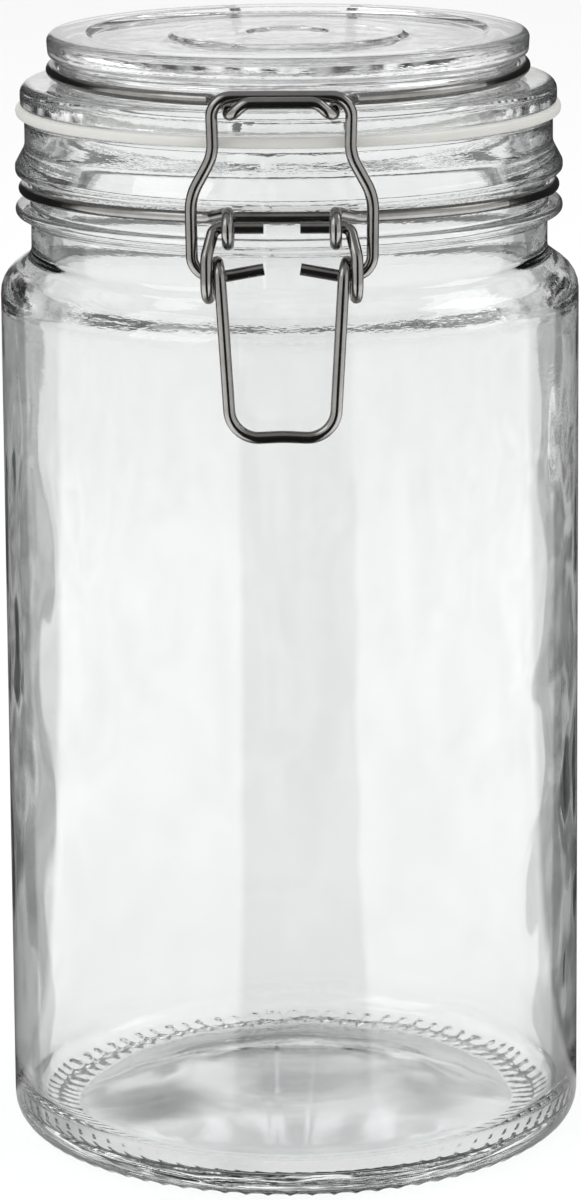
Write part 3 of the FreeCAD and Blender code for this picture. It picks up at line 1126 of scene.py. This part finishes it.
@dataclass(frozen=True)
class Cards:
    """Light and dark cards round the jar, lying and standing, that only glass and steel mirror.

    Attributes:
        near: brightness of a light card on the floor beside the jar.
        far: brightness of a light card far off or standing up.
        far_span: distance over which it goes from near to far.
        close: share of near that is left close to the jar's foot.
        close_span: distance over which that share grows to all of it.
        dark: brightness of a dark card.
        turn: how far the cards are turned round the jar, in degrees.
        front: degrees from the front over which the dark gap there turns light.
        side: the same, where the light card ends and a dark one starts.
        back: the same, where the dark card ends and the light one behind starts.
        back_share: brightness of the card behind, as a share of the others.
        overhead: brightness of the plain light straight above.
        overhead_span: upward part over which the cards give way to it.
    """

    near: float = 2.55
    far: float = 1.5
    far_span: Span = (0.45, 0.8)
    close: float = 0.2
    close_span: Span = (0.05, 0.16)
    dark: float = 0.03
    turn: float = 4.0
    front: Span = (19.6, 23.0)
    side: Span = (101.0, 107.0)
    back: Span = (170.0, 176.0)
    back_share: float = 0.6
    overhead: float = 0.6
    overhead_span: Span = (0.35, 0.75)

    def lying(self, nodes: Nodes, where: Socket) -> Socket:
        """Lay the cards on the floor.

        Args:
            nodes: the floor's node tree.
            where: place on the floor.

        Returns:
            Their brightness there.
        """
        away = nodes.length(where)
        light = nodes.ramp(away, self.far_span, self.near, self.far)
        share = nodes.ramp(away, self.close_span, low=self.close)
        return self._set_round(nodes, where, nodes.times(light, share))

    def standing(self, nodes: Nodes, where: Socket) -> Socket:
        """Stand the cards up round the jar, under the plain light above.

        Args:
            nodes: the sky's node tree.
            where: direction of the sky.

        Returns:
            Their brightness there.
        """
        high = nodes.ramp(nodes.parts(where)[2], self.overhead_span)
        return nodes.fade(high, self._set_round(nodes, where, self.far), self.overhead)

    def _set_round(self, nodes: Nodes, where: Socket, light: Number) -> Socket:
        """Set light cards round the jar, with a dark gap in front and a wide dark card behind on each side.

        Args:
            nodes: the node tree.
            where: place or direction.
            light: brightness of a light card there.

        Returns:
            The brightness there.
        """
        turned = nodes.math("SUBTRACT", nodes.azimuth(where), math.radians(self.turn))
        away = nodes.math("ABSOLUTE", turned)
        spans = (self.front, self.side, self.back)
        front, side, back = (self._from_front(nodes, away, span) for span in spans)
        behind = nodes.math("MAXIMUM", nodes.left(side), nodes.times(back, self.back_share))
        return nodes.fade(nodes.times(front, behind), self.dark, light)

    @staticmethod
    def _from_front(nodes: Nodes, away: Socket, span: Span) -> Socket:
        """Go from 0 to 1 over a span in degrees from the front."""
        return nodes.ramp(away, (math.radians(span[0]), math.radians(span[1])))


@dataclass(frozen=True)
class CaughtLight:
    """Light that glass catches from outside and turns inside its wall, in clouds.

    Attributes:
        size: clouds to the metre, or to the radius of the sky.
        least: brightness between the clouds.
        most: brightness of the clouds.
        span: the noise at which a cloud starts, and at which it is complete.
    """

    size: float
    least: float
    most: float
    span: Span = (0.38, 0.62)

    def clouds(self, nodes: Nodes, where: Socket) -> Socket:
        """The clouds' brightness at a place or direction."""
        cloud = nodes.noise(self.size, detail=3.0, rough=0.6, where=where)
        return nodes.ramp(cloud, self.span, self.least, self.most)


@dataclass(frozen=True)
class Patches:
    """Small dark patches low in the sky with light ones over them, seen in the jar's floor through its glass.

    Attributes:
        count: how many of each stand round the sky.
        turn: how far they are turned, in degrees.
        edge: cosine over which a patch's upright edges rise.
        dark: brightness of the dark patches.
        dark_low: upward part over which their lower edges rise.
        dark_high: upward part over which their upper edges fall.
        light: brightness of the light patches.
        light_low: the same for their lower edges.
        light_high: the same for their upper edges.
    """

    count: float = 63.0
    turn: float = 1.4
    edge: Span = (-0.7, 0.9)
    dark: float = 0.0
    dark_low: Span = (0.14, 0.18)
    dark_high: Span = (0.30, 0.26)
    light: float = 1.9
    light_low: Span = (0.47, 0.56)
    light_high: Span = (0.72, 0.62)

    def over(self, nodes: Nodes, where: Socket, sky: Socket) -> Socket:
        """Put the patches over the sky.

        Args:
            nodes: the sky's node tree.
            where: direction of the sky.
            sky: its brightness without them.

        Returns:
            Its brightness with them.
        """
        turned = nodes.math("SUBTRACT", nodes.azimuth(where), math.radians(self.turn))
        across = nodes.ramp(nodes.math("COSINE", nodes.times(turned, self.count)), self.edge)
        up = nodes.parts(where)[2]
        dark = nodes.times(nodes.ramp(up, self.dark_low), nodes.ramp(up, self.dark_high))
        light = nodes.times(nodes.ramp(up, self.light_low), nodes.ramp(up, self.light_high))
        with_dark = nodes.fade(nodes.times(across, dark), sky, self.dark)
        return nodes.fade(nodes.times(across, light), with_dark, self.light)


@dataclass(frozen=True)
class Shade:
    """Shade that the thick domed bottom throws on the floor under it, seen only through its glass.

    Attributes:
        disc: how dark the floor is under the dome.
        disc_edge: distance from the axis over which that rises inwards.
        crescents: how much darker it is at the sides, where the dome's slope starts.
        crescent_inner: distance over which the crescents rise from their inner edge.
        crescent_outer: distance over which they rise from their outer edge.
        aside: share of that distance that runs sideways, over which they rise towards the sides.
        wobble: how far all edges wander, in metres, inwards and outwards.
        wobble_size: waves of that to the metre.
        middle: added to the distance when that share is worked out, so that it isn't 0 on the axis.
    """

    disc: float = 0.17
    disc_edge: Span = (0.042, 0.032)
    crescents: float = 0.5
    crescent_inner: Span = (0.011, 0.023)
    crescent_outer: Span = (0.036, 0.024)
    aside: Span = (0.78, 0.98)
    wobble: Span = (-0.006, 0.006)
    wobble_size: float = 45.0
    middle: float = 0.001

    def under(self, nodes: Nodes, where: Socket) -> Socket:
        """Lay a soft disc of shade with two darker crescents under the jar.

        Args:
            nodes: the floor's node tree.
            where: place on the floor.

        Returns:
            Share of shade there.
        """
        wave = nodes.noise(self.wobble_size, detail=2.0, rough=0.5, where=where)
        away = nodes.plus(nodes.length(where), nodes.between(wave, self.wobble))
        disc = nodes.times(nodes.ramp(away, self.disc_edge), self.disc)
        ring = nodes.times(nodes.ramp(away, self.crescent_inner), nodes.ramp(away, self.crescent_outer))
        sideways = nodes.math("ABSOLUTE", nodes.parts(where)[0])
        aside = nodes.math("DIVIDE", sideways, nodes.plus(away, self.middle))
        crescents = nodes.times(nodes.times(ring, nodes.ramp(aside, self.aside)), self.crescents)
        return nodes.times(nodes.plus(disc, crescents), nodes.inside())


@dataclass(frozen=True)
class Lamp:
    """A square soft lamp aimed at the middle of the jar.

    Attributes:
        size: its width in metres.
        power: its power in watts.
        aim: the place that it is aimed at.
    """

    name: str
    place: tuple[float, float, float]
    size: float
    power: float
    aim: tuple[float, float, float] = (0.0, 0.0, 0.1)

    def build(self) -> None:
        """Make the lamp."""
        light = bpy.data.lights.new(self.name, "AREA")
        light.shape = "SQUARE"
        light.size = self.size
        light.energy = self.power
        lamp = bpy.data.objects.new(self.name, light)
        lamp.rotation_euler = (Vector(self.aim) - Vector(self.place)).to_track_quat("-Z", "Y").to_euler()
        lamp.location = self.place
        bpy.context.scene.collection.objects.link(lamp)


@dataclass
class Studio:
    """A pale floor under a soft even sky, with two soft lamps, and what glass and steel mirror of it.

    Attributes:
        floor_reach: half the floor's width, in metres.
        paper: colour of the floor's paper.
        shaded_paper: its colour in full shade.
        caught_low: light that glass catches from the floor.
        caught_near: share of it that comes from close under the jar.
        caught_span: distance over which that share grows to all of it.
        caught_high: light that glass catches from the sky.
    """

    floor_reach: float = 4.0
    paper: Colour = (0.9, 0.9, 0.9, 1.0)
    shaded_paper: Colour = (0.05, 0.05, 0.05, 1.0)
    paper_roughness: float = 0.5
    sky: float = 0.95
    cards: Cards = Cards()
    caught_low: CaughtLight = CaughtLight(size=9.0, least=0.35, most=1.1)
    caught_near: float = 0.75
    caught_span: Span = (0.06, 0.28)
    caught_high: CaughtLight = CaughtLight(size=5.0, least=0.05, most=1.15)
    patches: Patches = Patches()
    shade: Shade = Shade()
    lamps: tuple[Lamp, ...] = (
        Lamp("lamp_left", (-1.3, -0.9, 1.5), size=1.1, power=9.0),
        Lamp("lamp_right", (1.5, 0.3, 1.6), size=0.9, power=6.0),
    )

    def build(self) -> None:
        """Make the floor, the sky and the lamps."""
        self._floor()
        self._sky()
        for lamp in self.lamps:
            lamp.build()

    def _floor(self) -> None:
        """Lay a flat floor of pale paper, which glass and steel mirror as cards lying on it."""
        corners = np.array([[-1, -1, 0], [1, -1, 0], [1, 1, 0], [-1, 1, 0]]) * self.floor_reach
        floor = piece_from("studio_floor", corners, np.array([[0, 1, 2, 3]]))
        nodes = Nodes.of_material("studio_floor_paper")
        where = nodes.place()
        tone = nodes.blend(self.shade.under(nodes, where), self.paper, self.shaded_paper)
        paper = nodes.add("ShaderNodeBsdfDiffuse", {"Color": tone, "Roughness": self.paper_roughness})
        share = nodes.ramp(nodes.length(where), self.caught_span, low=self.caught_near)
        caught = nodes.times(self.caught_low.clouds(nodes, where), share)
        strength = nodes.fade(nodes.inside(), self.cards.lying(nodes, where), caught)
        cards = nodes.add("ShaderNodeEmission", {"Strength": strength})
        floor.data.materials.append(nodes.finish(nodes.mix(nodes.mirrored(), paper, cards)))

    def _sky(self) -> None:
        """Spread an even sky, which glass and steel mirror as cards standing up under plain light."""
        nodes = Nodes.of_world("studio_sky")
        where = nodes.add("ShaderNodeTexCoord").outputs["Generated"]
        caught = self.patches.over(nodes, where, self.caught_high.clouds(nodes, where))
        mirrored = nodes.fade(nodes.inside(), self.cards.standing(nodes, where), caught)
        strength = nodes.fade(nodes.mirrored(), self.sky, mirrored)
        light = nodes.add("ShaderNodeBackground", {"Color": (1, 1, 1, 1), "Strength": strength})
        bpy.context.scene.world = nodes.finish(light)


@dataclass
class Camera:
    """A long lens a little above the lid, looking slightly down at the clasp.

    Attributes:
        distance: how far it stands from the jar's axis, in metres.
        height: how high it stands, in metres.
        azimuth: where it stands, in degrees from the clasp.
        pitch: how far it looks down, in degrees.
        roll: how far it leans, in degrees.
        shift: how far its view is shifted upwards, as a share of the sensor's height.
    """

    distance: float = 0.8517
    height: float = 0.293
    azimuth: float = 1.4
    pitch: float = 10.66
    roll: float = -0.45
    lens: float = 149.48
    sensor: float = 36.0
    shift: float = -0.1847

    def build(self) -> None:
        """Place the camera and make it the scene's."""
        data = bpy.data.cameras.new("camera")
        data.sensor_fit = "VERTICAL"
        data.sensor_height = self.sensor
        data.lens = self.lens
        data.shift_y = self.shift
        camera = bpy.data.objects.new("camera", data)
        turn = math.radians(self.azimuth)
        place = Vector((math.sin(turn) * self.distance, -math.cos(turn) * self.distance, self.height))
        ahead = Matrix.Rotation(turn, 4, "Z") @ Matrix.Rotation(math.radians(90 - self.pitch), 4, "X")
        lean = Matrix.Rotation(math.radians(self.roll), 4, "Z")
        camera.matrix_world = Matrix.Translation(place) @ ahead @ lean
        bpy.context.scene.collection.objects.link(camera)
        bpy.context.scene.camera = camera


def light_paths() -> None:
    """Let light turn often enough inside the glass: the thick foot and the neck need many reflections."""
    for limit, count in LIGHT_TURNS.items():
        setattr(bpy.context.scene.cycles, limit, count)


def main() -> None:
    """Build the camera, the pieces and the studio, and say what was made."""
    logging.basicConfig(level=logging.INFO, format="%(message)s")
    bpy.context.scene.view_settings.view_transform = "Standard"
    light_paths()
    Camera().build()
    for maker in (Jar(), Lid(), Gasket()):
        piece = maker.build()
        LOG.info("%s: %d vertices, %d faces", piece.name, len(piece.data.vertices), len(piece.data.polygons))
    clasp = Clasp()
    clasp.dress()
    LOG.info("clasp: %s", ", ".join(clasp.wires))
    Studio().build()


if __name__ == "__main__":
    main()
